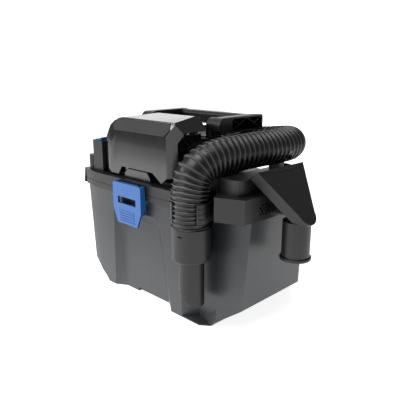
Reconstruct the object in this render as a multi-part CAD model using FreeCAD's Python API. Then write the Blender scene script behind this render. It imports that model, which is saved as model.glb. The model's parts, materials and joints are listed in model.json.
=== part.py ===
import FreeCAD, Part
import math
import os
from FreeCAD import Vector

# Cordless box-shaped shop vacuum. Millimetres, +Z up, origin at the middle of the base on the floor.
# The latch face looks along -Y, the exhaust and the hung nozzle are on the +X side.

wall = 3.0
half_length = 172.0
half_depth = 105.0
base_half_length = 116.0
chamfer_top = 33.0
belly_plate = 2.0
rim_height = 168.0
skirt_bottom = 165.0
deck_height = 190.0
raised_deck = 198.0

latch_middle = -41.0
latch_pin_height = 147.0
latch_pin_y = half_depth + 5.0
latch_pin_radius = 2.0
running_gap = 0.05

motor_x = -38.0
motor_y = 12.0
blower_radius = 43.0

hose_radius = 25.0
cuff_radius = 27.5
tool_radius = 18.2
tool_x = 97.0
tool_y = -115.0
cuff_bottom = 105.0
cuff_top = 152.0
tool_bottom = 38.0

cover_left = -129.0
cover_right = 47.0
cover_front = -98.0
cover_back = -34.0
cover_wall = 2.8
hinge_y = -30.0
hinge_z = 278.0

handle_y = -9.0
handle_z = 273.0
handle_pin_radius = 4.0
arm_bottom = 262.0
arm_top = 286.0
arm_back = 82.0
left_arm = (-120.0, -106.0)
right_arm = (44.0, 62.0)

nozzle_y = -26.0
neck_x = 206.0
neck_radius = 19.0
neck_bottom = 110.0
neck_top = 164.0

port_y = 95.0
port_z = 238.0
port_radius = 22.0

os.makedirs("parts", exist_ok=True)


def save(name, shape):
    shape.exportStep("parts/" + name + ".step")
    print(name, len(shape.Solids), round(shape.Volume / 1000.0, 2), "cm3", shape.isValid())


def box(x0, x1, y0, y1, z0, z1):
    return Part.makeBox(x1 - x0, y1 - y0, z1 - z0, Vector(x0, y0, z0))


def face(points):
    return Part.Face(Part.makePolygon(points + [points[0]]))


def prism_z(points, low, high):
    return face([Vector(x, y, low) for x, y in points]).extrude(Vector(0, 0, high - low))


def prism_y(points, front, back):
    return face([Vector(x, front, z) for x, z in points]).extrude(Vector(0, back - front, 0))


def prism_x(points, left, right):
    return face([Vector(left, y, z) for y, z in points]).extrude(Vector(right - left, 0, 0))


def rod_x(left, right, y, z, radius):
    return Part.makeCylinder(radius, right - left, Vector(left, y, z), Vector(1, 0, 0))


def rod_y(front, back, x, z, radius):
    return Part.makeCylinder(radius, back - front, Vector(x, front, z), Vector(0, 1, 0))


def rod_z(low, high, x, y, radius):
    return Part.makeCylinder(radius, high - low, Vector(x, y, low))


def tube_z(low, high, x, y, outer, inner):
    return rod_z(low, high, x, y, outer).cut(rod_z(low - 1, high + 1, x, y, inner))


def joined(shapes):
    shape = shapes[0]
    for other in shapes[1:]:
        shape = shape.fuse(other)
    return shape.removeSplitter()


def offset(points, gap):
    """Move each side of an anticlockwise outline outwards by gap (inwards when gap is negative)."""
    moved = []
    for index, corner in enumerate(points):
        before = points[index - 1]
        after = points[(index + 1) % len(points)]
        first = Vector(corner[0] - before[0], corner[1] - before[1], 0).normalize()
        second = Vector(after[0] - corner[0], after[1] - corner[1], 0).normalize()
        first_out = Vector(first.y, -first.x, 0)
        second_out = Vector(second.y, -second.x, 0)
        bisector = first_out + second_out
        reach = 2.0 * gap / bisector.dot(bisector)
        moved.append((corner[0] + bisector.x * reach, corner[1] + bisector.y * reach))
    return moved


def mirror_y(shape):
    return shape.mirror(Vector(0, 0, 0), Vector(0, 1, 0))


# ---------------------------------------------------------------- outlines

front_left = [(-half_length, -98.0), (-134.0, -half_depth)]
back_corners = [(half_length, 46.0), (113.0, half_depth), (-113.0, half_depth), (-half_length, 46.0)]
full_plan = front_left + [(160.0, -half_depth), (half_length, -90.0)] + back_corners
recess_path = [(66.0, -half_depth), (84.0, -85.0), (119.0, -85.0), (half_length, -78.0)]
tub_plan = front_left + recess_path + back_corners


def tub_profile(inset):
    half = [
        (base_half_length, 0.0 + inset),
        (base_half_length + 6.0, 7.0 + 0.4 * inset),
        (half_length - 13.0 - inset, chamfer_top + 0.4 * inset),
        (half_length - inset, rim_height),
    ]
    if inset > 0:
        half = [(base_half_length - 2.0, 10.0)] + half[2:]
    right = [(x, z) for x, z in half]
    left = [(-x, z) for x, z in reversed(half)]
    top = rim_height + 5.0 if inset > 0 else rim_height
    cap = [(half[-1][0], top), (-half[-1][0], top)] if inset > 0 else []
    return right + cap + left


def belly_near(x, y):
    return 0.736 * (x - 86.6) + 1.9 * (y + 85.0)


def belly_far(x, y):
    return 22.5 + 0.03 * (x - 118.4) + 1.7 * (y + 85.0)


# ---------------------------------------------------------------- tub


def rounded_corner(before, corner, after, radius):
    """Points of an arc that replaces one corner of an outline."""
    steps = 6
    run_in = Vector(before[0] - corner[0], before[1] - corner[1], 0).normalize()
    run_out = Vector(after[0] - corner[0], after[1] - corner[1], 0).normalize()
    half_angle = run_in.getAngle(run_out) / 2.0
    bisector = (run_in + run_out).normalize()
    centre = Vector(corner[0], corner[1], 0) + bisector * (radius / math.sin(half_angle))
    points = []
    for index in range(steps + 1):
        turn = (math.pi - 2.0 * half_angle) * (index / steps - 0.5)
        spoke = Vector(-bisector.x, -bisector.y, 0) * radius
        x = spoke.x * math.cos(turn) - spoke.y * math.sin(turn)
        y = spoke.x * math.sin(turn) + spoke.y * math.cos(turn)
        points.append((centre.x + x, centre.y + y))
    return points


def panel_recess(grow):
    outer_y = -half_depth - 0.5
    inner_y = -half_depth + 11.0 + grow
    outer = [(-98.0 - grow, -2.0), (44.0 + grow, -2.0), (19.0 + grow, 142.0 + grow), (-94.0 - grow, 142.0 + grow)]
    inner = [(-79.0 - grow, -2.0), (27.0 + grow, -2.0), (5.0 + grow, 125.0 + grow), (-77.0 - grow, 125.0 + grow)]
    outer[2:3] = rounded_corner(outer[1], outer[2], outer[3], 18.0)
    inner[2:3] = rounded_corner(inner[1], inner[2], inner[3], 16.0)
    outer_wire = Part.makePolygon([Vector(x, outer_y, z) for x, z in outer + outer[:1]])
    inner_wire = Part.makePolygon([Vector(x, inner_y, z) for x, z in inner + inner[:1]])
    return Part.makeLoft([outer_wire, inner_wire], True, True)


def make_tub():
    body = prism_z(full_plan, 0.0, rim_height).common(prism_y(tub_profile(0.0), -130.0, 130.0))
    corner = recess_path + [(190.0, -76.0), (190.0, -125.0), (66.0, -125.0)]
    pocket = prism_z(corner, belly_plate, 260.0)
    belly = prism_z(corner, -100.0, 100.0)
    for height in (belly_near, belly_far):
        slope = face([Vector(x, y, height(x, y)) for x, y in [(40, -160), (220, -160), (220, -60), (40, -60)]])
        belly = belly.cut(slope.extrude(Vector(0, 0, 500.0)))
    body = body.cut(pocket.cut(belly))
    body = body.cut(prism_z([(101.4, -105.0), (114.7, -95.5), (126.0, -76.0), (150.0, -120.0)], -1.0, belly_plate))
    for front, back in ((-130.0, -88.0), (88.0, 130.0)):
        body = body.cut(box(-48.0, 38.0, front, back, -1.0, 6.0))
    hollow = prism_z(offset(tub_plan, -wall), 9.0, 180.0).common(prism_y(tub_profile(wall), -130.0, 130.0))
    for side in (lambda shape: shape, mirror_y):
        body = body.cut(side(panel_recess(0.0)))
        hollow = hollow.cut(side(panel_recess(wall)))
    body = body.cut(hollow)
    lug_root = box(latch_middle - 20.0, latch_middle + 20.0, -latch_pin_y, -half_depth + 1.0, 143.0, 151.0)
    lug = lug_root.fuse(rod_x(latch_middle - 20.0, latch_middle + 20.0, -latch_pin_y, latch_pin_height, 4.0))
    pin_hole = rod_x(latch_middle - 60.0, latch_middle + 60.0, -latch_pin_y, latch_pin_height, latch_pin_radius)
    for side in (lambda shape: shape, mirror_y):
        body = body.fuse(side(lug)).cut(side(pin_hole))
    return body.removeSplitter()


def make_latch():
    face_y = -half_depth - 13.0
    back_y = face_y + 3.5
    middle = latch_middle
    half_top = 34.0
    half_bottom = 20.0
    top = 187.0
    bottom = 122.5
    outline = [
        (middle - half_top, 184.0), (middle - half_top, latch_pin_height - 2.0), (middle - half_bottom - 4, bottom),
        (middle + half_bottom + 4, bottom), (middle + half_top, latch_pin_height - 2.0), (middle + half_top, 184.0),
        (middle + half_top - 3, top), (middle - half_top + 3, top),
    ]
    plate = prism_y(outline, face_y, back_y)
    plate = plate.cut(box(middle - 22.0, middle + 22.0, face_y - 1, back_y + 1, 154.5, 165.5))
    ribs = [box(middle - 18.0, middle + 18.0, face_y - 0.8, face_y, z, z + 1.6) for z in (126, 130, 134, 138, 142)]
    cheek = [(back_y, top), (-109.5, top), (-108.6, 165.0), (-107.2, 153.0), (back_y, 141.0)]
    cheek_solids = []
    for left in (middle - half_top, middle + half_top - 3.5):
        solid = prism_x(cheek, left, left + 3.5).fuse(rod_x(left, left + 3.5, -latch_pin_y, latch_pin_height, 4.4))
        cheek_solids.append(solid)
    hook = box(middle - 22.0, middle + 22.0, back_y, back_y + 4.2, 182.3, top - 0.5)
    latch = joined([plate, hook] + ribs + cheek_solids)
    bore = rod_x(middle - 60, middle + 60, -latch_pin_y, latch_pin_height, latch_pin_radius + running_gap)
    return latch.cut(bore)


def make_latch_pin():
    return rod_x(latch_middle - 34.0, latch_middle + 34.0, -latch_pin_y, latch_pin_height, latch_pin_radius)


save("tub", make_tub())
front_latch = make_latch()
front_pin = make_latch_pin()
save("front_latch", front_latch)
save("rear_latch", mirror_y(front_latch))
save("latch_pins", Part.makeCompound([front_pin, mirror_y(front_pin)]))

# ---------------------------------------------------------------- lid

corner_plan = [(118.0, -86.0), (136.0, -112.0), (174.0, -96.0), (178.0, -20.0), (178.0, 20.0), (175.0, 42.0),
               (116.0, 104.0), (66.0, 104.0), (66.0, -86.0)]


def make_lid():
    skirt = prism_z(offset(tub_plan, wall), skirt_bottom, deck_height)
    lid = skirt.fuse(prism_z(corner_plan, skirt_bottom, raised_deck))
    lip = [(-174.0, deck_height), (-184.5, deck_height), (-189.0, skirt_bottom), (-185.5, skirt_bottom - 1.0),
           (-181.0, deck_height - 4.0), (-174.0, deck_height - 4.0)]
    lid = lid.fuse(prism_y(lip, -97.0, 58.0))
    lid = lid.cut(prism_z(offset(tub_plan, 0.4), skirt_bottom - 2.0, rim_height + 3.0))
    lid = lid.cut(prism_z(offset(tub_plan, -4.0), skirt_bottom, deck_height - wall))
    lid = lid.cut(prism_z([(126.0, -89.0), (138.0, -108.0), (171.0, -94.0), (172.5, -84.0)], 160.0, 195.0))
    lid = lid.cut(prism_z([(80.0, -78.0), (160.0, -70.0), (167.0, 38.0), (112.0, 96.0), (80.0, 96.0)], 180.0, 195.0))
    lid = lid.cut(rod_z(150.0, 200.0, motor_x, motor_y, blower_radius + 0.3))
    lid = lid.cut(box(-52.0, -6.0, 70.0, 100.0, 150.0, 200.0))
    groove = prism_z(offset(tub_plan, 6.0), 174.2, 175.6).cut(prism_z(offset(tub_plan, 2.4), 174.0, 176.0))
    lid = lid.cut(groove.cut(box(60.0, 200.0, -130.0, 130.0, 170.0, 180.0)))
    for row, z in enumerate((174.0, 178.0, 182.0, 186.0)):
        for step in range(6):
            y = -65.0 + 6.0 * step + 3.0 * (row % 2)
            lid = lid.cut(rod_x(160.0, 190.0, y, z, 1.9))
    ridge = prism_x([(-107.5, 175.0), (-109.8, 177.0), (-109.8, 182.0), (-107.5, 182.0)],
                    latch_middle - 24.0, latch_middle + 24.0)
    return lid.fuse(ridge).fuse(mirror_y(ridge)).removeSplitter()


def make_seal():
    outer = prism_z(offset(tub_plan, -0.2), rim_height, rim_height + 3.0)
    return outer.cut(prism_z(offset(tub_plan, -3.2), rim_height - 1.0, rim_height + 4.0))


def make_tray_wall():
    outer = [(120.5, -88.0), (126.0, -90.5), (148.0, -92.0), (157.0, -88.0), (161.0, -78.0), (163.0, 30.0),
             (158.0, 46.0), (116.0, 92.0), (106.0, 97.0), (72.0, 97.0)]
    inner = [(72.0, 94.0), (105.0, 94.0), (114.0, 89.5), (155.2, 44.5), (160.0, 30.0), (158.0, -77.0),
             (155.0, -85.5), (147.0, -89.0), (127.0, -87.5), (120.5, -85.0)]
    tray = prism_z(outer + inner, raised_deck, 219.0)
    return tray.cut(box(70.0, 145.0, 56.0, 100.0, 209.0, 220.0))


def ring_sector_z(centre_x, centre_y, inner, outer, start, end, low, high):
    """A piece of a round wall about a vertical axis, between two angles in degrees."""
    sector = Part.makeCylinder(outer, high - low, Vector(centre_x, centre_y, low), Vector(0, 0, 1), end - start)
    sector.rotate(Vector(centre_x, centre_y, 0), Vector(0, 0, 1), start)
    return sector.cut(rod_z(low - 1, high + 1, centre_x, centre_y, inner))


lid = make_lid()
save("lid", lid)
save("lid_seal", make_seal())
save("hose_tray", make_tray_wall())


def make_hose_clip():
    clip = ring_sector_z(tool_x, tool_y, hose_radius + 0.4, hose_radius + 3.4, -38.0, 252.0, 161.0, 188.0)
    for angle in (-38.0, 252.0):
        x = tool_x + (hose_radius + 1.9) * math.cos(math.radians(angle))
        y = tool_y + (hose_radius + 1.9) * math.sin(math.radians(angle))
        clip = clip.fuse(rod_z(161.0, 188.0, x, y, 1.5))
    return clip.cut(lid).removeSplitter()


save("hose_clip", make_hose_clip())

saddle_x = 120.0
saddle_z = 248.0


def make_hose_saddle():
    ring = rod_y(36.0, 50.0, saddle_x, saddle_z, hose_radius + 3.4)
    ring = ring.cut(box(50.0, 190.0, 30.0, 60.0, saddle_z - 6.0, 300.0))
    foot = box(saddle_x - 9.0, saddle_x + 9.0, 36.0, 50.0, raised_deck, saddle_z - hose_radius)
    tab = box(saddle_x + 20.0, saddle_x + 30.0, 38.0, 48.0, saddle_z - 19.0, saddle_z - 16.5)
    run = hose_route[4] - hose_route[3]
    bore = Part.makeCylinder(hose_radius + 0.3, run.Length, hose_route[3], run)
    return ring.fuse(foot).fuse(tab).cut(bore).removeSplitter()


# ---------------------------------------------------------------- hose, cuff and crevice tool

hose_route = [
    Vector(tool_x, tool_y, 142.0),
    Vector(tool_x, tool_y, 214.0),
    Vector(101.0, -82.0, 247.0),
    Vector(115.0, -8.0, 248.0),
    Vector(122.0, 62.0, 248.0),
    Vector(108.0, 88.5, 247.0),
    Vector(80.0, 101.5, 243.5),
    Vector(47.0, port_y, port_z),
    Vector(20.0, port_y, port_z),
]


def hose_path(points):
    """Straight runs joined by arcs, each arc as large as the shorter of its two runs allows."""
    edges = []
    start = points[0]
    for index in range(1, len(points) - 1):
        corner = points[index]
        run_in = corner - points[index - 1]
        run_out = points[index + 1] - corner
        turn = run_in.getAngle(run_out)
        reach = 0.45 * min(run_in.Length, run_out.Length)
        radius = reach / math.tan(turn / 2.0)
        direction_in = Vector(run_in).normalize()
        direction_out = Vector(run_out).normalize()
        arc_start = corner - direction_in * reach
        arc_end = corner + direction_out * reach
        inward = (direction_out - direction_in).normalize()
        middle = corner + inward * (radius / math.cos(turn / 2.0) - radius)
        edges.append(Part.LineSegment(start, arc_start).toShape())
        edges.append(Part.Arc(arc_start, middle, arc_end).toShape())
        print("hose turn", round(math.degrees(turn), 1), "degrees, radius", round(radius, 1), "mm")
        start = arc_end
    edges.append(Part.LineSegment(start, points[-1]).toShape())
    return Part.Wire(edges)


def make_hose():
    path = hose_path(hose_route)
    circle = Part.Wire(Part.makeCircle(hose_radius, hose_route[0], Vector(0, 0, 1)))
    hose = path.makePipeShell([circle], True, False)
    expected = math.pi * hose_radius ** 2 * path.Length
    print("hose length", round(path.Length, 1), "mm, volume over expected", round(hose.Volume / expected, 4))
    return hose


def make_cuff():
    cuff = rod_z(cuff_bottom, cuff_top, tool_x, tool_y, cuff_radius)
    cuff = cuff.makeFillet(3.0, [edge for edge in cuff.Edges if edge.BoundBox.ZMax < cuff_bottom + 0.1])
    cuff = cuff.cut(rod_z(142.0, cuff_top + 1.0, tool_x, tool_y, hose_radius))
    cuff = cuff.cut(rod_z(cuff_bottom - 1.0, 141.0, tool_x, tool_y, tool_radius + 0.3))
    cuff = cuff.cut(rod_z(cuff_bottom, 144.0, tool_x, tool_y, 15.0))
    slot = box(tool_x - 3.5, tool_x + 3.5, tool_y - cuff_radius - 1, tool_y - cuff_radius + 2.5, 142.5, 144.5)
    slot.rotate(Vector(tool_x, tool_y, 0), Vector(0, 0, 1), 12.0)
    return cuff.cut(slot)


def make_crevice_tool():
    top = 139.0
    tool = rod_z(tool_bottom, top, tool_x, tool_y, tool_radius)
    tool = tool.cut(rod_z(tool_bottom - 1, top + 1, tool_x, tool_y, tool_radius - 2.0))
    side = [(tool_x - 22.0, tool_bottom - 2.0), (tool_x - 22.0, tool_bottom + 27.0),
            (tool_x - 10.0, tool_bottom + 11.0), (tool_x + 4.0, tool_bottom - 2.0)]
    slant = prism_y(side, tool_y - 25.0, tool_y + 25.0)
    slant.rotate(Vector(tool_x, tool_y, 0), Vector(0, 0, 1), 45.0)
    return tool.cut(slant)


hose = make_hose()
save("hose", hose)
save("hose_saddle", make_hose_saddle())
save("hose_cuff", make_cuff())
save("crevice_tool", make_crevice_tool())


def make_hose_end():
    direction = Vector(-1, 0, 0)
    entry = hose_route[-1]
    collar = Part.makeCylinder(hose_radius + 2.6, 10.0, Vector(entry.x, port_y, port_z), direction)
    spigot = Part.makeCylinder(port_radius - 0.3, 34.0, Vector(entry.x, port_y, port_z), direction)
    fitting = collar.fuse(spigot)
    fitting = fitting.cut(rod_x(-20.0, entry.x + 1.0, port_y, port_z, port_radius - 3.0))
    return fitting.cut(hose).removeSplitter()


save("hose_end", make_hose_end())


def make_inlet_duct():
    duct = prism_x([(66.0, deck_height), (106.0, deck_height), (121.0, 208.0), (121.0, 264.0), (86.0, 264.0),
                    (82.0, 260.0), (66.0, 260.0)], -58.0, 0.0)
    duct = duct.fuse(rod_x(-1.0, 9.7, port_y, port_z, port_radius + 2.2))
    inside = prism_x([(69.0, deck_height - 1.0), (103.0, deck_height - 1.0), (103.0, deck_height + 3.0),
                      (118.0, 210.0), (118.0, 261.0), (87.0, 261.0), (83.0, 257.0), (69.0, 257.0)], -55.0, -3.0)
    duct = duct.cut(inside)
    return duct.cut(rod_x(-3.5, 12.0, port_y, port_z, port_radius)).removeSplitter()


save("inlet_duct", make_inlet_duct())

# ---------------------------------------------------------------- nozzle and its bracket

slope_run = 45.0
slope_drop = 58.0
slope_length = math.hypot(slope_run, slope_drop)
mouth_top = Vector(178.0, nozzle_y, 231.0)
nozzle_thickness = 16.0


def nozzle_fan(grow, start, end):
    """The flat funnel: wide at the mouth, narrow at the neck, laid along the slope."""
    half_mouth = 50.5 + grow
    half_neck = 16.0 + grow
    outline = [
        Vector(-nozzle_thickness - grow, -half_mouth, start), Vector(grow, -half_mouth, start),
        Vector(grow, half_mouth, start), Vector(-nozzle_thickness - grow, half_mouth, start),
    ]
    throat = [
        Vector(-nozzle_thickness - grow, -half_neck, end), Vector(grow, -half_neck, end),
        Vector(grow, half_neck, end), Vector(-nozzle_thickness - grow, half_neck, end),
    ]
    wires = [Part.makePolygon(points + points[:1]) for points in (outline, throat)]
    fan = Part.makeLoft(wires, True, True)
    along = Vector(slope_run, 0, -slope_drop).normalize()
    normal = Vector(slope_drop, 0, slope_run).normalize()
    matrix = FreeCAD.Matrix(
        normal.x, 0, along.x, mouth_top.x,
        0, 1, 0, mouth_top.y,
        normal.z, 0, along.z, mouth_top.z,
        0, 0, 0, 1)
    return fan.transformGeometry(matrix)


def nozzle_end(grow):
    """The round end of the funnel, over the neck."""
    normal = Vector(slope_drop, 0, slope_run).normalize()
    start = slope_point(slope_length - 5.0, nozzle_thickness + grow)
    return Part.makeCylinder(17.5 + grow, nozzle_thickness + 2.0 * grow, start, normal)


def make_nozzle():
    shell = nozzle_fan(0.0, 0.0, slope_length)
    shell = shell.fuse(nozzle_end(0.0))
    rim = nozzle_fan(1.6, 0.0, 4.0)
    neck = rod_z(neck_bottom, neck_top, neck_x, nozzle_y, neck_radius)
    flange = rod_z(neck_bottom, neck_bottom + 5.0, neck_x, nozzle_y, neck_radius + 2.3)
    flange = flange.makeFillet(1.6, [edge for edge in flange.Edges if edge.Closed and len(edge.Vertexes) == 1])
    nozzle = shell.fuse(rim).fuse(neck).fuse(flange)
    nozzle = nozzle.cut(nozzle_fan(-2.0, -1.0, slope_length)).cut(nozzle_end(-2.0))
    nozzle = nozzle.cut(rod_z(neck_bottom - 1.0, neck_top - 2.0, neck_x, nozzle_y, neck_radius - 2.0))
    return nozzle.cut(bracket_peg(4.6, 14.0)).removeSplitter()


def slope_point(distance, depth):
    """A point on the nozzle's middle plane: distance down the slope, depth below its top face."""
    along = Vector(slope_run, 0, -slope_drop).normalize()
    normal = Vector(slope_drop, 0, slope_run).normalize()
    return mouth_top + along * distance - normal * depth


def bracket_peg(radius, length):
    normal = Vector(slope_drop, 0, slope_run).normalize()
    start = slope_point(42.0, nozzle_thickness + 4.0)
    return Part.makeCylinder(radius, length, start, normal)


def make_bracket():
    top_edge = slope_point(34.0, nozzle_thickness + 0.3)
    low_edge = slope_point(50.0, nozzle_thickness + 0.3)
    profile = [(177.9, 171.0), (low_edge.x - 1.0, 171.0), (low_edge.x, low_edge.z), (top_edge.x, top_edge.z),
               (177.9, top_edge.z + 1.0)]
    arm = prism_y(profile, nozzle_y - 11.0, nozzle_y + 11.0)
    peg = bracket_peg(4.0, 11.0)
    return arm.fuse(peg).cut(lid).removeSplitter()


save("nozzle", make_nozzle())
save("nozzle_bracket", make_bracket())

# ---------------------------------------------------------------- head

housing_plan = [(-118.0, -34.0), (38.0, -34.0), (44.0, -28.0), (44.0, 48.0), (34.0, 58.0), (-114.0, 58.0),
                (-124.0, 48.0), (-124.0, -28.0)]
screw_places = [(-110.0, -22.0), (30.0, -22.0), (-110.0, 44.0), (30.0, 44.0)]
housing_top = 256.0


def make_motor_housing():
    housing = prism_z(housing_plan, deck_height, housing_top)
    housing = housing.cut(prism_z(offset(housing_plan, -2.6), deck_height - 1.0, housing_top - wall))
    for x, y in screw_places:
        housing = housing.fuse(rod_z(deck_height, housing_top - 1.0, x, y, 5.0))
        housing = housing.cut(rod_z(housing_top - 14.0, housing_top + 1.0, x, y, 2.0))
    for left, right in ((-89.0, -81.0), (11.0, 19.0)):
        lug = prism_x([(-34.0, 250.0), (-22.0, 250.0), (-22.0, 256.0), (-25.6, hinge_z), (-34.0, hinge_z)],
                      left, right)
        housing = housing.fuse(lug).fuse(rod_x(left, right, hinge_y, hinge_z, 4.6))
    housing = housing.cut(rod_x(-100.0, 40.0, hinge_y, hinge_z, 1.8))
    for slot in range(7):
        y = -14.0 + 9.0 * slot
        housing = housing.cut(box(-130.0, -118.0, y, y + 3.5, 216.0, 244.0))
    return housing.removeSplitter()


def make_screws():
    screws = []
    for x, y in screw_places:
        head = rod_z(housing_top, housing_top + 2.2, x, y, 4.0)
        recess = box(x - 2.4, x + 2.4, y - 0.5, y + 0.5, housing_top + 1.0, housing_top + 3.0)
        cross = box(x - 0.5, x + 0.5, y - 2.4, y + 2.4, housing_top + 1.0, housing_top + 3.0)
        screws.append(head.fuse(rod_z(housing_top - 13.0, housing_top, x, y, 2.0)).cut(recess).cut(cross))
    return Part.makeCompound(screws)


def make_boss(left, right):
    boss = rod_x(left, right, handle_y, handle_z, 12.5)
    foot = box(left, right, handle_y - 12.5, handle_y + 12.5, housing_top, handle_z)
    bore = rod_x(left - 1, right + 1, handle_y, handle_z, handle_pin_radius)
    return boss.fuse(foot).cut(bore).removeSplitter()


save("motor_housing", make_motor_housing())
save("housing_screws", make_screws())
save("handle_boss_right", make_boss(34.0, right_arm[0] - 0.3))
save("handle_boss_left", make_boss(left_arm[1] + 0.3, -96.0))

switch_x = -146.0
switch_y = -85.0
switch_z = 240.0
switch_top = 241.0


def make_switch_housing():
    plan = [(-161.0, -92.0), (-157.0, -96.0), (-131.0, -96.0), (-130.0, -50.0), (-161.0, -50.0)]
    block = prism_z(plan, deck_height, switch_top)
    pocket_floor = switch_top - 10.0
    pocket = box(switch_x - 9.2, switch_x + 9.2, switch_y - 7.4, switch_y + 7.4, pocket_floor, switch_top + 4.0)
    block = block.cut(pocket)
    block = block.cut(prism_z(offset(plan, -2.5), deck_height - 1.0, pocket_floor - 4.0))
    bore = rod_y(switch_y - 8.6, switch_y + 8.6, switch_x, switch_z - 2.0, 1.25 + running_gap)
    return block.cut(bore)


def make_power_switch():
    profile = [(switch_x - 7.5, switch_z - 3.5), (switch_x + 7.5, switch_z - 3.5),
               (switch_x + 7.5, switch_z + 6.0), (switch_x, switch_z + 2.0), (switch_x - 7.5, switch_z + 3.0)]
    rocker = prism_y(profile, switch_y - 7.0, switch_y + 7.0)
    return rocker.fuse(rod_y(switch_y - 8.4, switch_y + 8.4, switch_x, switch_z - 2.0, 1.25)).removeSplitter()


def make_accessory_peg():
    post = rod_z(deck_height, 214.0, -170.0, -86.0, 8.5)
    web = box(-170.0, -161.0, -90.0, -82.0, deck_height, 204.0)
    return post.fuse(web).removeSplitter()


save("switch_housing", make_switch_housing())
save("power_switch", make_power_switch())
save("accessory_peg", make_accessory_peg())

# ---------------------------------------------------------------- battery cover

cover_plan = [(cover_left, -89.0), (-104.0, cover_front), (30.0, cover_front), (cover_right, -80.0),
              (cover_right, cover_back), (cover_left, cover_back)]


def cover_profile(inset):
    return [(cover_front - 1.0 + inset, 180.0), (cover_front - 1.0 + inset, 262.0 - 0.4 * inset),
            (-87.0 + 0.4 * inset, 283.0 - inset), (cover_back - 10.0, 289.0 - inset),
            (cover_back, 286.5 - inset), (cover_back + 1.0, 286.5 - inset), (cover_back + 1.0, 180.0)]


def cover_solid(inset, bottom):
    plan = offset(cover_plan, -inset)[:4] + [(cover_right - inset, cover_back + inset),
                                             (cover_left + inset, cover_back + inset)]
    solid = prism_z(plan, bottom, 300.0)
    solid = solid.common(prism_x(cover_profile(inset), -140.0, 60.0))
    left_edge = [(cover_left - 5, 150.0), (cover_left + inset, 150.0), (cover_left + inset, 248.0 - 0.3 * inset),
                 (-117.0 + 0.8 * inset, 268.0 - 0.6 * inset), (-92.0 + 0.4 * inset, 281.5 - 0.9 * inset),
                 (-45.0, 289.5 - inset), (-45.0, 299.0), (cover_left - 5, 299.0)]
    right_edge = [(60.0, 150.0), (cover_right - inset, 150.0), (cover_right - inset, 268.0 - 0.4 * inset),
                  (32.0 - 0.4 * inset, 291.0), (60.0, 295.0)]
    solid = solid.cut(prism_y(left_edge, -110.0, 0.0)).cut(prism_y(right_edge, -110.0, 0.0))
    facet_normal = Vector(-0.275, -0.946, 0.168).normalize()
    facet_point = Vector(-119.0, -92.6, 237.5) - facet_normal * inset
    return solid.cut(Part.makeCylinder(90.0, 40.0, facet_point, facet_normal))


grille_opening = [(-86.0, 205.0), (-86.0, 254.0), (-81.0, 263.0), (-70.0, 268.0), (-30.0, 268.0), (-30.0, 205.0)]


def make_cover():
    cover = cover_solid(0.0, 192.0).cut(cover_solid(cover_wall, 180.0))
    cover = cover.cut(box(-140.0, 60.0, cover_back - 2.9, cover_back + 5.0, 180.0, 268.0))
    cover = cover.cut(prism_x(grille_opening, cover_right - 6.0, cover_right + 2.0))
    notch = [(-90.0, 180.0), (18.0, 180.0), (18.0, 193.5), (-2.0, 207.0), (-76.0, 207.0), (-84.0, 196.0)]
    cover = cover.cut(prism_y(notch, cover_front - 5.0, cover_front + 12.0))
    under = [(-140.0, 180.0), (60.0, 180.0), (60.0, 203.0), (30.0, 203.0), (18.0, 193.5), (-140.0, 193.5)]
    cover = cover.cut(prism_y(under, cover_front - 5.0, cover_back + 5.0))
    for left, right in ((-80.7, -70.0), (0.0, 10.7)):
        lug = prism_x([(-40.0, 286.5), (-38.0, 274.0), (hinge_y, hinge_z - 4.6), (hinge_y, hinge_z + 4.6),
                       (-34.0, 284.5)], left, right)
        cover = cover.fuse(lug).fuse(rod_x(left, right, hinge_y, hinge_z, 4.6))
    for left, right in ((-89.6, -80.7), (10.7, 19.6)):
        cover = cover.cut(rod_x(left, right, hinge_y, hinge_z, 5.2))
    cover = cover.cut(rod_x(-100.0, 40.0, hinge_y, hinge_z, 1.8 + running_gap))
    return cover.removeSplitter()


def make_hinge_pins():
    return Part.makeCompound([rod_x(-89.0, -70.0, hinge_y, hinge_z, 1.8), rod_x(0.0, 19.0, hinge_y, hinge_z, 1.8)])


def make_name_plate():
    rise = Vector(0, 12.0, 21.0).normalize()
    outward = Vector(0, -21.0, 12.0).normalize()
    low = Vector(0, cover_front - 1.0, 262.0) + rise * 1.5
    length = 20.5
    left = -99.0
    right = 33.0
    rounding = 7.0

    def corner(x, up):
        return Vector(x, low.y, low.z) + rise * up

    points = [corner(left + rounding, 0), corner(right - rounding, 0), corner(right, length * 0.5),
              corner(right - rounding * 0.5, length), corner(left + rounding, length), corner(left, length * 0.5)]
    return face(points).extrude(outward * 1.0)


cover = make_cover()
save("battery_cover", cover)
save("cover_hinge_pins", make_hinge_pins())
save("name_plate", make_name_plate().cut(cover))


def make_cover_release():
    outline = [(-70.0, 191.0), (-8.0, 191.0), (-8.0, 196.0), (-15.0, 205.5), (-62.0, 205.5), (-70.0, 198.0)]
    return prism_y(outline, cover_front + 0.5, cover_front + 6.5)


def make_intake_grille():
    plate = box(36.0, 38.5, -79.0, -36.0, deck_height, 264.0)
    panel = prism_x([(-69.0, 204.0), (-69.0, 244.0), (-60.0, 253.0), (-37.0, 253.0), (-37.0, 204.0)], 38.5, 43.5)
    fins = [plate, panel]
    for step in range(8):
        z = 206.0 + 5.2 * step
        fins.append(box(38.4, 42.5, -79.0, -68.8, z, z + 1.4))
    for step in range(5):
        y = -62.0 + 5.2 * step
        fins.append(box(38.4, 42.5, y, y + 1.4, 252.8, 264.0))
    fins.append(prism_x([(-77.0, 259.0), (-76.0, 260.0), (-64.0, 249.5), (-65.0, 248.5)], 38.4, 42.5))
    return joined(fins)


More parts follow.
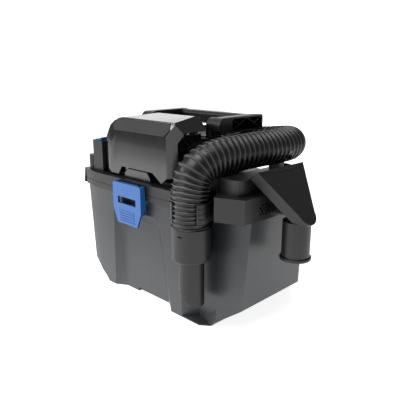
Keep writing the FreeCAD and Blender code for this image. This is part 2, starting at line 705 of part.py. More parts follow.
def make_dock():
    back = box(-78.0, 2.0, -39.0, -34.0, deck_height, 262.0)
    floor_plate = box(-104.0, 30.0, -84.0, -34.0, deck_height, 193.0)
    stop = box(-72.0, -6.0, -88.0, -84.0, deck_height, 204.0)
    dock = joined([back, floor_plate, stop])
    return dock.cut(rod_z(180.0, 198.3, motor_x, motor_y, blower_radius + 1.0))


def make_battery_pack():
    body = box(-80.0, 4.0, -84.0, -46.0, 204.0, 264.0)
    edges = [edge for edge in body.Edges if abs(edge.BoundBox.XLength) < 0.1 or edge.BoundBox.YMax < -83.9]
    body = body.makeChamfer(5.0, [edge for edge in edges if edge.BoundBox.YMax < -83.9])
    rails = box(-66.0, -10.0, -46.0, -39.0, 208.0, 262.0)
    pocket = box(-54.2, -21.8, -85.0, -78.0, 233.8, 246.2)
    return body.fuse(rails).cut(pocket).removeSplitter()


def make_battery_button():
    return box(-54.0, -22.0, -87.0, -81.0, 234.0, 246.0)


def make_contacts():
    return Part.makeCompound([box(x, x + 1.0, -46.5, -39.0, 214.0, 228.0) for x in (-56.0, -44.0, -32.0, -20.0)])


contacts = make_contacts()
save("cover_release", make_cover_release())
save("intake_grille", make_intake_grille())
save("battery_dock", make_dock())
save("battery_contacts", contacts)
save("battery_pack", make_battery_pack().cut(contacts))
save("battery_button", make_battery_button())

# ---------------------------------------------------------------- carry handle


def make_left_arm():
    left, right = left_arm
    hub = rod_x(left, right, handle_y, handle_z, 13.0)
    bar = prism_x([(handle_y, arm_top), (arm_back - 6.0, arm_top), (arm_back, arm_top - 5.0), (arm_back, 268.0),
                   (arm_back - 8.0, 266.0), (handle_y, arm_bottom)], left, right)
    arm = hub.fuse(bar).cut(rod_x(left - 1, right + 1, handle_y, handle_z, handle_pin_radius + running_gap))
    return arm.removeSplitter()


def make_right_arm():
    left, right = right_arm
    hub = rod_x(left, right, handle_y, handle_z, 13.0)
    bar = box(left, right, handle_y, arm_back, arm_bottom, arm_top)
    corner_edges = [edge for edge in bar.Edges if abs(edge.BoundBox.XLength - (right - left)) < 0.1
                    and edge.BoundBox.YMin > arm_back - 1.0]
    bar = bar.makeFillet(4.0, corner_edges)
    pocket_y = (8.0, arm_back - 3.0)
    pocket_z = (arm_bottom + 3.0, arm_top - 3.0)
    pocket = box(left + 3.0, right + 1.0, pocket_y[0], pocket_y[1], pocket_z[0], pocket_z[1])
    arm = hub.fuse(bar).cut(pocket)
    half = (pocket_y[1] - pocket_y[0]) / 2.0
    for cell in range(2):
        y0 = pocket_y[0] + cell * half
        y1 = y0 + half
        for z0, z1 in ((pocket_z[0], pocket_z[1]), (pocket_z[1], pocket_z[0])):
            rib = prism_x([(y0 - 1.0, z0), (y0 + 1.0, z0), (y1 + 1.0, z1), (y1 - 1.0, z1)], left + 2.0, right - 1.0)
            arm = arm.fuse(rib.common(box(left, right, pocket_y[0] - 1, pocket_y[1] + 1, arm_bottom, arm_top)))
    arm = arm.cut(rod_x(left - 1, right + 1, handle_y, handle_z, handle_pin_radius + running_gap))
    return arm.removeSplitter()


def make_grip():
    profile = [(60.0, 268.0), (64.0, 264.0), (77.0, 264.0), (arm_back, 268.0), (arm_back, 281.0), (77.0, 285.0),
               (64.0, 285.0), (60.0, 281.0)]
    return prism_x(profile, left_arm[1], right_arm[0])


def make_handle_pins():
    right = rod_x(34.0, right_arm[1], handle_y, handle_z, handle_pin_radius)
    left = rod_x(left_arm[0], -96.0, handle_y, handle_z, handle_pin_radius)
    return Part.makeCompound([left, right])


save("handle_arm_left", make_left_arm())
save("handle_arm_right", make_right_arm())
save("handle_grip", make_grip())
save("handle_pins", make_handle_pins())

# ---------------------------------------------------------------- motor, impeller, filter and float

shaft_radius = 3.0


def make_impeller_housing():
    flange = rod_z(deck_height, 193.0, motor_x, motor_y, 56.0).common(box(-100.0, 30.0, -31.0, 55.0, 180.0, 200.0))
    shell = rod_z(174.0, 198.0, motor_x, motor_y, blower_radius).fuse(flange)
    shell = shell.cut(rod_z(176.5, 195.5, motor_x, motor_y, blower_radius - 2.5))
    shell = shell.cut(rod_z(170.0, 180.0, motor_x, motor_y, 17.0))
    shell = shell.cut(rod_z(190.0, 200.0, motor_x, motor_y, 8.0))
    return shell.cut(box(motor_x + 25.0, motor_x + 60.0, -22.0, 12.0, 177.0, 185.0))


def make_exhaust_duct():
    outside = box(16.0, 168.0, -64.0, -24.0, 174.0, 187.0).fuse(box(-12.0, 30.0, -64.0, 16.0, 174.0, 187.0))
    inside = box(18.0, 169.0, -62.0, -26.0, 176.0, 185.0).fuse(box(-10.0, 28.0, -24.0, 14.0, 176.0, 185.0))
    inside = inside.fuse(box(18.0, 28.0, -62.0, 0.0, 176.0, 185.0))
    duct = outside.cut(box(-13.0, 16.0, -65.0, -26.0, 170.0, 190.0)).cut(inside)
    return duct.cut(rod_z(170.0, 190.0, motor_x, motor_y, blower_radius)).removeSplitter()


def make_impeller():
    disc = rod_z(178.0, 180.0, motor_x, motor_y, 38.0).cut(rod_z(170.0, 182.0, motor_x, motor_y, 16.0))
    cap = rod_z(191.0, 193.0, motor_x, motor_y, 38.0).fuse(rod_z(182.0, 193.0, motor_x, motor_y, 7.0))
    blades = []
    for index in range(9):
        blade = box(motor_x + 12.0, motor_x + 37.5, motor_y - 0.7, motor_y + 0.7, 179.5, 191.5)
        blade.rotate(Vector(motor_x + 12.0, motor_y, 0), Vector(0, 0, 1), 28.0)
        blade = blade.common(rod_z(170.0, 200.0, motor_x, motor_y, 38.0))
        blade.rotate(Vector(motor_x, motor_y, 0), Vector(0, 0, 1), 40.0 * index)
        blades.append(blade)
    impeller = joined([disc, cap] + blades)
    return impeller.cut(rod_z(170.0, 200.0, motor_x, motor_y, shaft_radius))


def make_motor_can():
    can = tube_z(198.0, 248.0, motor_x, motor_y, 29.0, 24.0)
    ends = [tube_z(198.0, 203.0, motor_x, motor_y, 24.0, 8.0), tube_z(243.0, 248.0, motor_x, motor_y, 24.0, 8.0)]
    return joined([can] + ends)


def make_rotor():
    shaft = rod_z(181.0, 250.0, motor_x, motor_y, shaft_radius)
    core = tube_z(210.0, 236.0, motor_x, motor_y, 22.0, 2.0)
    commutator = tube_z(237.0, 242.0, motor_x, motor_y, 9.0, 2.0)
    return joined([shaft, core, commutator])


def make_bearings():
    rings = [tube_z(low, low + 5.0, motor_x, motor_y, 8.0, shaft_radius + running_gap) for low in (198.0, 243.0)]
    return Part.makeCompound(rings)


def make_motor_mount():
    return tube_z(198.0, 204.0, motor_x, motor_y, 36.0, 29.0)


def make_board():
    board = box(15.0, 37.0, -14.0, 36.0, 206.0, 207.6)
    parts_on_board = [box(19.0, 27.0, y, y + 9.0, 207.6, 215.0) for y in (-8.0, 6.0, 20.0)]
    posts = [rod_z(deck_height, 206.0, x, y, 2.5) for x, y in ((21.0, -11.0), (34.0, 32.0))]
    return joined([board] + parts_on_board + posts)


save("impeller_housing", make_impeller_housing())
save("exhaust_duct", make_exhaust_duct())
save("impeller", make_impeller())
save("motor_can", make_motor_can())
save("motor_rotor", make_rotor())
save("motor_bearings", make_bearings())
save("motor_mount_ring", make_motor_mount())
save("circuit_board", make_board())

filter_top = 174.0
filter_bottom = 112.0


def make_float_cage():
    cage = tube_z(126.0, filter_top, motor_x, motor_y, 28.0, 25.5)
    cage = cage.fuse(rod_z(124.0, 126.5, motor_x, motor_y, 28.0))
    for index in range(4):
        window = box(motor_x - 9.0, motor_x + 9.0, motor_y - 40.0, motor_y + 40.0, 131.0, 158.0)
        window.rotate(Vector(motor_x, motor_y, 0), Vector(0, 0, 1), 45.0 * index)
        cage = cage.cut(window)
    return cage.fuse(rod_z(124.0, 126.5, motor_x, motor_y, 28.0)).removeSplitter()


def make_float():
    cup = rod_z(126.5, 152.0, motor_x, motor_y, 21.0)
    return cup.cut(rod_z(125.0, 149.5, motor_x, motor_y, 19.0)).fuse(rod_z(152.0, 156.0, motor_x, motor_y, 18.5))


def make_filter_frame():
    top_ring = tube_z(filter_top - 4.0, filter_top, motor_x, motor_y, 49.5, 31.0)
    base = rod_z(filter_bottom, filter_bottom + 3.0, motor_x, motor_y, 49.5)
    base = base.fuse(rod_z(filter_bottom - 6.0, filter_bottom, motor_x, motor_y, 12.0))
    core = tube_z(filter_bottom + 3.0, filter_top - 4.0, motor_x, motor_y, 33.0, 31.0)
    for index in range(6):
        window = box(motor_x - 10.0, motor_x + 10.0, motor_y - 40.0, motor_y + 40.0, 119.0, 166.0)
        window.rotate(Vector(motor_x, motor_y, 0), Vector(0, 0, 1), 60.0 * index + 30.0)
        core = core.cut(window)
    return joined([top_ring, base, core])


def make_filter_cartridge():
    pleats = 36
    points = []
    for index in range(pleats):
        for radius, part in ((47.5, 0.0), (37.0, 0.5)):
            angle = 2.0 * math.pi * (index + part) / pleats
            points.append((motor_x + radius * math.cos(angle), motor_y + radius * math.sin(angle)))
    outer = prism_z(points, filter_bottom + 3.0, filter_top - 4.0)
    return outer.cut(rod_z(100.0, 180.0, motor_x, motor_y, 33.0))


save("float_cage", make_float_cage())
save("float_cup", make_float())
save("filter_frame", make_filter_frame())
save("filter_cartridge", make_filter_cartridge())
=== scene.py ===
import json
import math

import bmesh
import bpy
from mathutils import Matrix, Vector


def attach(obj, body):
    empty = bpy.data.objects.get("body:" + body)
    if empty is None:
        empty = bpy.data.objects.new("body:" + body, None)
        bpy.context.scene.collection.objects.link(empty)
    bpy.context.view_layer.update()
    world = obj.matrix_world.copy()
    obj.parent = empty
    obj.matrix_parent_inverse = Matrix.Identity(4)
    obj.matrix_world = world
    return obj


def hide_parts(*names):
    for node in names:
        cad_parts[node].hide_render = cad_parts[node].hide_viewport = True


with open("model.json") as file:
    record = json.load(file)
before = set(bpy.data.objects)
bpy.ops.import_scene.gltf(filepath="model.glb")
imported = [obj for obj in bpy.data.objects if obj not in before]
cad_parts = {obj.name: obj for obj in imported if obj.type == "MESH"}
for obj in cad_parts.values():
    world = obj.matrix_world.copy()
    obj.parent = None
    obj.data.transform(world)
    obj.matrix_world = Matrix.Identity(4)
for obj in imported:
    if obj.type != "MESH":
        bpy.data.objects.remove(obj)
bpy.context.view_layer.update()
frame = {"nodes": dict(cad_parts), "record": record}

# Looks for a small cordless shop vacuum: smoked tub, black lid, blue latches, short stretch hose.
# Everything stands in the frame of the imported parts. The pieces' dictionaries are in millimetres.

mm = 0.001
white = (1.0, 1.0, 1.0, 1.0)


def linear(hexColour):
    channels = [int(hexColour[i:i + 2], 16) / 255 for i in (1, 3, 5)]
    return [c / 12.92 if c <= 0.04045 else ((c + 0.055) / 1.055) ** 2.4 for c in channels] + [1.0]


def addNode(tree, kind, settings=None, links=None):
    node = tree.nodes.new("ShaderNode" + kind)
    for name, value in (settings or {}).items():
        if isinstance(name, int) or name in node.inputs:
            node.inputs[name].default_value = value
        else:
            setattr(node, name, value)
    for name, socket in (links or {}).items():
        tree.links.new(socket, node.inputs[name])
    return node


def newPiece(name, mesh, material, body, replaced=()):
    piece = bpy.data.objects.new(name, mesh)
    bpy.context.scene.collection.objects.link(piece)
    mesh.materials.clear()
    mesh.materials.append(material)
    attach(piece, body)
    if replaced:
        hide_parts(*replaced)
    return piece


# camera: place and clip distances in metres, angles in degrees, lens and sensor in millimetres

cameraView = {"place": (0.5463, -0.5554, 0.3600), "azimuth": 44.472, "elevation": 15.293,
              "lens": 44.105, "sensor": 36.0, "nearest": 0.01, "farthest": 100.0}


def placeCamera(view):
    azimuth = math.radians(view["azimuth"])
    elevation = math.radians(view["elevation"])
    back = Vector((math.sin(azimuth) * math.cos(elevation), -math.cos(azimuth) * math.cos(elevation),
                   math.sin(elevation)))
    right = Vector((math.cos(azimuth), math.sin(azimuth), 0.0))
    up = back.cross(right)
    data = bpy.data.cameras.new("studioCamera")
    data.sensor_width = view["sensor"]
    data.lens = view["lens"]
    data.clip_start = view["nearest"]
    data.clip_end = view["farthest"]
    camera = bpy.data.objects.new("studioCamera", data)
    turn = Matrix((right, up, back)).transposed().to_4x4()
    camera.matrix_world = Matrix.Translation(view["place"]) @ turn
    bpy.context.scene.collection.objects.link(camera)
    bpy.context.scene.camera = camera


placeCamera(cameraView)
print("camera placed")

# materials: what every moulded and every drawn finish shares

moulding = {"smudgeMm": 18, "glossier": 0.05, "duller": 0.07, "grainDepthMm": 0.05}
# real drawing streaks are about 0.1 mm wide, drawn coarser so that they show
drawing = {"streakLongMm": 25, "streakWideMm": 0.8333, "glossier": 0.06, "duller": 0.1}


def principled(name, finish):
    material = bpy.data.materials.new(name)
    material.use_nodes = True
    tree = material.node_tree
    tree.nodes.clear()
    shader = addNode(tree, "BsdfPrincipled", {
        "Roughness": finish["roughness"], "IOR": finish.get("ior", 1.5),
        "Metallic": finish.get("metallic", 0.0),
        "Coat Weight": finish.get("coat", 0.0), "Coat Roughness": finish.get("coatRoughness", 0.08)})
    addNode(tree, "OutputMaterial", {}, {"Surface": shader.outputs[0]})
    return material, tree, shader


def mouldedSurface(name, finish):
    # colour drifts a little from place to place, handling leaves the gloss uneven,
    # and the mould's spark-eroded grain roughens the highlight
    material, tree, shader = principled(name, finish)
    place = addNode(tree, "TexCoord").outputs["Object"]
    drift = addNode(tree, "TexNoise", {"Scale": 1 / (finish["driftMm"] * mm), "Detail": 3.0},
                    {"Vector": place})
    colour = addNode(tree, "Mix", {"data_type": "RGBA", 6: linear(finish["colour"]),
                                   7: linear(finish["lighter"])}, {0: drift.outputs[0]}).outputs[2]
    tree.links.new(colour, shader.inputs["Base Color"])
    smudge = addNode(tree, "TexNoise", {"Scale": 1 / (moulding["smudgeMm"] * mm), "Detail": 4.0,
                                        "Roughness": 0.6}, {"Vector": place})
    gloss = addNode(tree, "MapRange", {3: finish["roughness"] - moulding["glossier"],
                                       4: finish["roughness"] + moulding["duller"]}, {0: smudge.outputs[0]})
    tree.links.new(gloss.outputs[0], shader.inputs["Roughness"])
    # real grain is about 0.1 mm, drawn coarser so that it shows
    grain = addNode(tree, "TexNoise", {"Scale": 1 / (finish["grainMm"] * mm), "Detail": 2.0},
                    {"Vector": place})
    bump = addNode(tree, "Bump", {"Strength": finish["grainStrength"],
                                  "Distance": moulding["grainDepthMm"] * mm}, {"Height": grain.outputs[0]})
    tree.links.new(bump.outputs[0], shader.inputs["Normal"])
    return material, {"tree": tree, "shader": shader, "place": place, "colour": colour}


def mouldedPlastic(name, finish):
    return mouldedSurface(name, finish)[0]


def smokedPlastic(name, finish):
    # smoked tub plastic passes some light: painted light makes it paler towards the bright floor, floor light
    # painted into the colour by height
    material, parts = mouldedSurface(name, finish)
    tree = parts["tree"]
    height = addNode(tree, "SeparateXYZ", {}, {0: parts["place"]}).outputs[2]
    # painted light: the wall's colour is mixed towards a paler one over the lowest part of the tub
    footLightShare = addNode(tree, "MapRange", {1: 0.0, 2: finish["paintedFootLightMm"] * mm, 3: 1.0, 4: 0.0}, {0: height})
    footLightMix = addNode(tree, "Mix", {"data_type": "RGBA", 7: linear(finish["paintedFootLight"])},
                    {0: footLightShare.outputs[0], 6: parts["colour"]})
    tree.links.new(footLightMix.outputs[2], parts["shader"].inputs["Base Color"])
    return material


def ribbedPlastic(name, finish):
    # the crests of the ribs get a painted highlight, a paler colour where the mesh is sharpest, and the film
    # between them stays dark
    material, parts = mouldedSurface(name, finish)
    tree = parts["tree"]
    sharpness = addNode(tree, "NewGeometry").outputs["Pointiness"]
    # painted highlight: the sharpest rib crests are mixed towards the pale crest colour
    crestHighlightShare = addNode(tree, "MapRange", {1: finish["highlightFrom"], 2: finish["highlightFully"]}, {0: sharpness})
    crestHighlightMix = addNode(tree, "Mix", {"data_type": "RGBA", 7: linear(finish["crest"])},
                   {0: crestHighlightShare.outputs[0], 6: parts["colour"]})
    tree.links.new(crestHighlightMix.outputs[2], parts["shader"].inputs["Base Color"])
    return material


def drawnMetal(name, finish):
    # fine streaks along the drawing direction stretch the highlight
    material, tree, shader = principled(name, finish)
    place = addNode(tree, "TexCoord").outputs["Object"]
    along, across = 1 / (drawing["streakLongMm"] * mm), 1 / (drawing["streakWideMm"] * mm)
    stretch = addNode(tree, "Mapping", {"Scale": (along, across, across)}, {0: place})
    streak = addNode(tree, "TexNoise", {"Scale": 1.0, "Detail": 2.0}, {"Vector": stretch.outputs[0]})
    colour = addNode(tree, "Mix", {"data_type": "RGBA", 6: linear(finish["colour"]),
                                   7: linear(finish["lighter"])}, {0: streak.outputs[0]})
    gloss = addNode(tree, "MapRange", {3: finish["roughness"] - drawing["glossier"],
                                       4: finish["roughness"] + drawing["duller"]}, {0: streak.outputs[0]})
    tree.links.new(colour.outputs[2], shader.inputs["Base Color"])
    tree.links.new(gloss.outputs[0], shader.inputs["Roughness"])
    return material


finishes = {
    # polypropylene tinted with smoke dye: a dark satin wall, with painted light making it paler at the foot
    # where floor light gets through
    "tub_plastic": ("smokedPolypropyleneMoulded", smokedPlastic, {
        "colour": "#1f2124", "lighter": "#242629", "paintedFootLight": "#3f4245", "paintedFootLightMm": 120, "roughness": 0.36,
        "driftMm": 60, "grainMm": 0.7, "grainStrength": 0.25}),
    # ABS from an eroded mould: near black, with a broad soft highlight
    "black_plastic": ("blackAbsMoulded", mouldedPlastic, {
        "colour": "#0b0b0c", "lighter": "#101011", "roughness": 0.42,
        "driftMm": 40, "grainMm": 0.6, "grainStrength": 0.35}),
    # ABS dyed through and less grained: an even blue with a tighter highlight
    "blue_plastic": ("blueAbsMoulded", mouldedPlastic, {
        "colour": "#1c5aa2", "lighter": "#2160a8", "roughness": 0.3,
        "driftMm": 30, "grainMm": 0.5, "grainStrength": 0.15}),
    # polycarbonate from a polished mould: it mirrors the softboxes on its bevels
    "cover_plastic": ("blackPolycarbonatePolished", mouldedPlastic, {
        "colour": "#0e0e0f", "lighter": "#131314", "roughness": 0.2, "coat": 0.3, "coatRoughness": 0.06,
        "ior": 1.58, "driftMm": 50, "grainMm": 0.8, "grainStrength": 0.05}),
    # lacquered ABS: a matt grey band that stays duller than the cover round it
    "plate_plastic": ("greyAbsLacquered", mouldedPlastic, {
        "colour": "#1a1a1b", "lighter": "#202021", "roughness": 0.55,
        "driftMm": 30, "grainMm": 0.5, "grainStrength": 0.3}),
    # EVA wound from an extruded strip: a waxy sheen, dark film and a painted highlight on the rib crests
    "hose_plastic": ("blackEvaExtruded", ribbedPlastic, {
        "colour": "#0a0a0a", "lighter": "#0f0f0f", "crest": "#6a6a6c", "highlightFrom": 0.52, "highlightFully": 0.6,
        "roughness": 0.36, "driftMm": 12, "grainMm": 0.5, "grainStrength": 0.12}),
    # foam rubber cut from sheet: dull and open-celled, with no clear highlight
    "soft_seal": ("blackFoamRubberCut", mouldedPlastic, {
        "colour": "#101010", "lighter": "#1a1a1a", "roughness": 0.8,
        "driftMm": 8, "grainMm": 0.8, "grainStrength": 0.7}),
    # zinc-plated drawn rod: mid grey with a drawn-out highlight
    "steel": ("steelDrawnZincPlated", drawnMetal, {
        "colour": "#55575a", "lighter": "#66686b", "roughness": 0.34, "metallic": 1.0}),
    # pressed motor sheet with a satin surface: light grey, blurred reflections
    "motor_steel": ("steelPressedSatin", drawnMetal, {
        "colour": "#85888b", "lighter": "#9a9da0", "roughness": 0.4, "metallic": 1.0}),
    # rolled copper strip, still bright: warm orange with a fairly sharp highlight
    "copper": ("copperRolledBright", drawnMetal, {
        "colour": "#b5673c", "lighter": "#c97a4a", "roughness": 0.32, "metallic": 1.0}),
    # etched glass-fibre board under green lacquer: a deep green with a soft shine
    "board": ("greenBoardEtched", mouldedPlastic, {
        "colour": "#1d5a34", "lighter": "#246a3e", "roughness": 0.45,
        "driftMm": 6, "grainMm": 0.8, "grainStrength": 0.2}),
    # pleated filter paper: off-white and fibrous, with no shine
    "filter_paper": ("whitePaperPleated", mouldedPlastic, {
        "colour": "#cfcabc", "lighter": "#ded9cc", "roughness": 0.9,
        "driftMm": 15, "grainMm": 0.8, "grainStrength": 0.9}),
    # ABS for the inner parts: plain mid grey with a soft highlight
    "grey_plastic": ("greyAbsMoulded", mouldedPlastic, {
        "colour": "#58595b", "lighter": "#606163", "roughness": 0.45,
        "driftMm": 30, "grainMm": 0.6, "grainStrength": 0.3})}

materials = {slotName: make(name, finish) for slotName, (name, make, finish) in finishes.items()}
nodeSlots = {part["node"]: part["material_slot"] for part in frame["record"]["subparts"]}
bodyOfNode = {n: body for body, members in frame["record"]["behaviour"]["bodies"].items() for n in members}
for nodeName, nodeObject in frame["nodes"].items():
    if not nodeObject.material_slots:
        nodeObject.data.materials.append(None)
    for materialSlot in nodeObject.material_slots:
        materialSlot.material = materials[nodeSlots[nodeName]]
print("materials made:", len(materials))

# stretch hose: one helical rib wound along the route, capped inside its two end fittings.
# The open windings run from the duct to the front bend and the tight ones down to the cuff;
# tightFrom and blend are metres along the hose, ribShare and fall are shares of a winding.

hose = {
    "route": [(20, 95, 238), (48, 95, 238), (83, 102, 242), (111, 90, 245.5), (126, 60, 246),
              (116.5, -14, 244.5), (99, -86, 240.5), (93.5, -120, 212), (97, -115, 142)],
    "openRadius": 25.4, "openDepth": 2.3, "openPitch": 8.2,
    "tightRadius": 26.6, "tightDepth": 2.4, "tightPitch": 5.7,
    "tightFrom": 0.275, "blend": 0.05, "ribShare": 0.14, "fall": 0.26, "around": 56, "ringsPerSpan": 110}


def routeLine(values):
    curve = bpy.data.curves.new("hoseRoute", "CURVE")
    curve.dimensions = "3D"
    curve.resolution_u = values["ringsPerSpan"]
    spline = curve.splines.new("NURBS")
    spline.points.add(len(values["route"]) - 1)
    for point, place in zip(spline.points, values["route"]):
        point.co = [c * mm for c in place] + [1.0]
    spline.order_u = 3
    spline.use_endpoint_u = True
    holder = bpy.data.objects.new("hoseRoute", curve)
    line = bpy.data.meshes.new_from_object(holder)
    path = [v.co.copy() for v in line.vertices]
    bpy.data.objects.remove(holder)
    bpy.data.meshes.remove(line)
    bpy.data.curves.remove(curve)
    return path


def smoothStep(value):
    value = min(1.0, max(0.0, value))
    return value * value * (3 - 2 * value)


def between(openValue, tightValue, tight):
    return openValue + (tightValue - openValue) * tight


def hoseMesh(path, values):
    points, faces = [], []
    around, last = values["around"], len(path) - 1
    side = Vector((0, 0, 1))
    travelled, turns = 0.0, 0.0
    for index, centre in enumerate(path):
        ahead = (path[min(index + 1, last)] - path[max(index - 1, 0)]).normalized()
        side = (side - ahead * side.dot(ahead)).normalized()
        other = ahead.cross(side)
        tight = smoothStep((travelled - values["tightFrom"]) / values["blend"])
        depth = between(values["openDepth"], values["tightDepth"], tight)
        crest = between(values["openRadius"], values["tightRadius"], tight)
        for step in range(around):
            angle = 2 * math.pi * step / around
            phase = (turns + step / around) % 1.0
            gap = abs(phase - 0.5) * 2 - values["ribShare"]
            rise = 1 - smoothStep(gap / values["fall"])
            radius = (crest - depth * (1 - rise)) * mm
            points.append(centre + (side * math.cos(angle) + other * math.sin(angle)) * radius)
        if index < last:
            length = (path[index + 1] - centre).length
            travelled += length
            turns += length / (between(values["openPitch"], values["tightPitch"], tight) * mm)
    for ring in range(last):
        for step in range(around):
            after = (step + 1) % around
            faces.append((ring * around + step, ring * around + after,
                          (ring + 1) * around + after, (ring + 1) * around + step))
    faces.append(tuple(reversed(range(around))))
    faces.append(tuple(last * around + step for step in range(around)))
    mesh = bpy.data.meshes.new("stretch_hose")
    mesh.from_pydata(points, [], faces)
    mesh.update()
    mesh.polygons.foreach_set("use_smooth", [True] * len(mesh.polygons))
    return mesh, travelled


hosePath = routeLine(hose)
hoseShape, hoseLength = hoseMesh(hosePath, hose)
stretchHose = newPiece("stretch_hose", hoseShape, materials["hose_plastic"], bodyOfNode["hose"],
                       ["hose"])
print("hose:", len(hosePath), "rings,", round(hoseLength / mm, 1), "mm")

# parts with softened mould edges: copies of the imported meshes, welded, with a small rolled edge.
# Each number is the width of that part's rolled edge.

softEdges = {
    "tub": 1.6, "lid": 1.1, "hose_tray": 0.9, "hose_saddle": 0.6, "inlet_duct": 1.2,
    "motor_housing": 1.0, "switch_housing": 1.0, "power_switch": 0.6, "accessory_peg": 1.0,
    "battery_cover": 1.5, "name_plate": 0.35, "cover_release": 0.8, "intake_grille": 0.25,
    "battery_pack": 0.8, "battery_button": 0.7, "front_latch": 1.0, "rear_latch": 1.0,
    "nozzle": 1.2, "nozzle_bracket": 0.7, "crevice_tool": 0.5, "hose_cuff": 0.5, "hose_end": 0.6,
    "handle_arm_left": 1.2, "handle_arm_right": 0.6, "handle_grip": 1.4, "handle_boss_right": 0.8,
    "handle_boss_left": 0.8}
edges = {"sharpDegrees": 32, "flatDegrees": 0.6, "weld": 0.01, "segments": 3, "flatFaceWeight": 80}


def shadeEdges(mesh):
    mesh.polygons.foreach_set("use_smooth", [True] * len(mesh.polygons))
    mesh.set_sharp_from_angle(angle=math.radians(edges["sharpDegrees"]))


def rollEdges(piece, width):
    roll = piece.modifiers.new("rolledEdges", "BEVEL")
    roll.limit_method = "ANGLE"
    roll.angle_limit = math.radians(edges["sharpDegrees"])
    roll.width = width * mm
    roll.segments = edges["segments"]
    roll.use_clamp_overlap = True
    even = piece.modifiers.new("flatFaces", "WEIGHTED_NORMAL")
    even.mode = "FACE_AREA_WITH_ANGLE"
    even.weight = edges["flatFaceWeight"]


def softCopy(node, width):
    mesh = frame["nodes"][node].data.copy()
    shape = bmesh.new()
    shape.from_mesh(mesh)
    bmesh.ops.remove_doubles(shape, verts=shape.verts, dist=edges["weld"] * mm)
    bmesh.ops.dissolve_degenerate(shape, dist=edges["weld"] * mm, edges=shape.edges)
    bmesh.ops.dissolve_limit(shape, angle_limit=math.radians(edges["flatDegrees"]), verts=shape.verts,
                             edges=shape.edges)
    bmesh.ops.recalc_face_normals(shape, faces=shape.faces)
    shape.to_mesh(mesh)
    shape.free()
    shadeEdges(mesh)
    slotName = nodeSlots[node]
    piece = newPiece(node + "_shell", mesh, materials[slotName], bodyOfNode[node], [node])
    rollEdges(piece, width)
    return piece


for nodeName, width in softEdges.items():
    softCopy(nodeName, width)

# hose clip: an open band with a rolled lip and three short finger ribs at its free end.
# Radii, heights and proud sizes are millimetres, start, end and turns are degrees round the hose.

clip = {
    "centre": (97, -115), "inner": 25.9, "outer": 28.4, "low": 161, "high": 188, "start": -28, "end": 252,
    "degreesPerFace": 5, "roll": 0.45,
    "lipBack": 0.4, "lipProud": 1.7, "lipTurn": 4.5, "lipTaller": 1,
    "ribs": (166, 173, 180), "ribHigh": 1.7, "ribProud": 0.9, "ribSunk": 0.5, "ribStart": 1, "ribTurn": 24}


def addBand(shape, values, inner, outer, low, high, start, end):
    steps = max(2, round(abs(end - start) / values["degreesPerFace"]))
    rings = []
    for step in range(steps + 1):
        angle = math.radians(start + (end - start) * step / steps)
        ring = []
        for radius, height in ((inner, low), (outer, low), (outer, high), (inner, high)):
            x = values["centre"][0] + radius * math.cos(angle)
            y = values["centre"][1] + radius * math.sin(angle)
            ring.append(shape.verts.new((x * mm, y * mm, height * mm)))
        rings.append(ring)
    for before, after in zip(rings, rings[1:]):
        for corner in range(4):
            following = (corner + 1) % 4
            shape.faces.new((before[corner], after[corner], after[following], before[following]))
    shape.faces.new(rings[0])
    shape.faces.new(list(reversed(rings[-1])))


def makeClip(values):
    inner, outer, low, high, start = (values[key] for key in ("inner", "outer", "low", "high", "start"))
    taller, halfLip = values["lipTaller"], values["lipTurn"] / 2
    shape = bmesh.new()
    addBand(shape, values, inner, outer, low, high, start, values["end"])
    addBand(shape, values, inner + values["lipBack"], outer + values["lipProud"], low - taller, high + taller,
            start - halfLip, start + halfLip)
    for ribLow in values["ribs"]:
        addBand(shape, values, outer - values["ribSunk"], outer + values["ribProud"], ribLow,
                ribLow + values["ribHigh"], start + values["ribStart"], start + values["ribTurn"])
    bmesh.ops.recalc_face_normals(shape, faces=shape.faces)
    mesh = bpy.data.meshes.new("hose_clip_band")
    shape.to_mesh(mesh)
    shape.free()
    shadeEdges(mesh)
    piece = newPiece("hose_clip_band", mesh, materials["black_plastic"], bodyOfNode["hose_clip"],
                     ["hose_clip"])
    rollEdges(piece, values["roll"])


makeClip(clip)
print("hose clip made")

# studio: pale seamless paper that glows a little, white surround, large soft lights; metres and watts

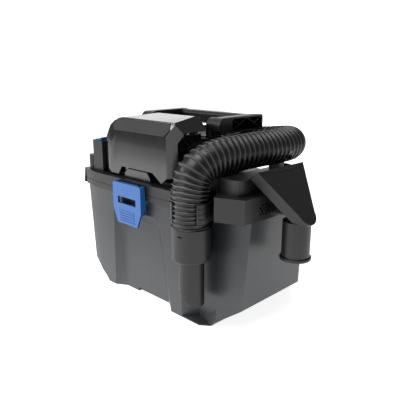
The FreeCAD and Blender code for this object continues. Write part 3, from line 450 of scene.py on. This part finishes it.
studio = {
    "floorRadius": 12.0, "floorSides": 96, "floorDropMm": 0.2, "floorGlow": 0.82,
    "surroundLit": 0.2, "surroundSeen": 1.1,
    "paper": {"colour": "#f4f4f4", "lighter": "#f8f8f8", "roughness": 0.7,
              "driftMm": 400, "grainMm": 2.0, "grainStrength": 0.02}}
lights = {
    "topSoftbox": {"place": (-0.1, -0.5, 1.9), "aim": (0.0, 0.0, 0.2), "size": 1.4, "power": 30.0},
    "frontSoftbox": {"place": (-0.6, -2.0, 0.7), "aim": (0.0, 0.0, 0.15), "size": 1.3, "power": 9.0},
    "bevelStrip": {"place": (-1.20, -1.10, 1.08), "aim": (0.0, -0.09, 0.27), "size": 0.42, "power": 5.5},
    "rearPanel": {"place": (-2.1, 2.1, 1.1), "aim": (0.0, 0.0, 0.3), "size": 2.6, "power": 28.0}}


def makeFloor(values):
    shape = bmesh.new()
    bmesh.ops.create_circle(shape, cap_ends=True, segments=values["floorSides"], radius=values["floorRadius"])
    mesh = bpy.data.meshes.new("studioFloor")
    shape.to_mesh(mesh)
    shape.free()
    floor = bpy.data.objects.new("studioFloor", mesh)
    floor.location = (0, 0, -values["floorDropMm"] * mm)
    bpy.context.scene.collection.objects.link(floor)
    # background paper, bleached and uncoated: an even dull white without a horizon
    paper, parts = mouldedSurface("paperSeamlessWhite", values["paper"])
    parts["shader"].inputs["Emission Color"].default_value = white
    parts["shader"].inputs["Emission Strength"].default_value = values["floorGlow"]
    mesh.materials.append(paper)


def makeSurround(values):
    world = bpy.data.worlds.new("studioSurround")
    world.use_nodes = True
    tree = world.node_tree
    tree.nodes.clear()
    seen = addNode(tree, "LightPath").outputs["Is Camera Ray"]
    strength = addNode(tree, "MapRange", {3: values["surroundLit"], 4: values["surroundSeen"]}, {0: seen})
    glow = addNode(tree, "Background", {0: white}, {1: strength.outputs[0]})
    addNode(tree, "OutputWorld", {}, {0: glow.outputs[0]})
    bpy.context.scene.world = world


def makeLight(name, values):
    data = bpy.data.lights.new(name, "AREA")
    data.shape = "SQUARE"
    data.size = values["size"]
    data.energy = values["power"]
    light = bpy.data.objects.new(name, data)
    away = Vector(values["place"]) - Vector(values["aim"])
    light.rotation_euler = away.to_track_quat("Z", "Y").to_euler()
    light.location = values["place"]
    bpy.context.scene.collection.objects.link(light)


makeFloor(studio)
makeSurround(studio)
for lightName, values in lights.items():
    makeLight(lightName, values)
bpy.context.scene.view_settings.view_transform = "Standard"
print("studio ready")
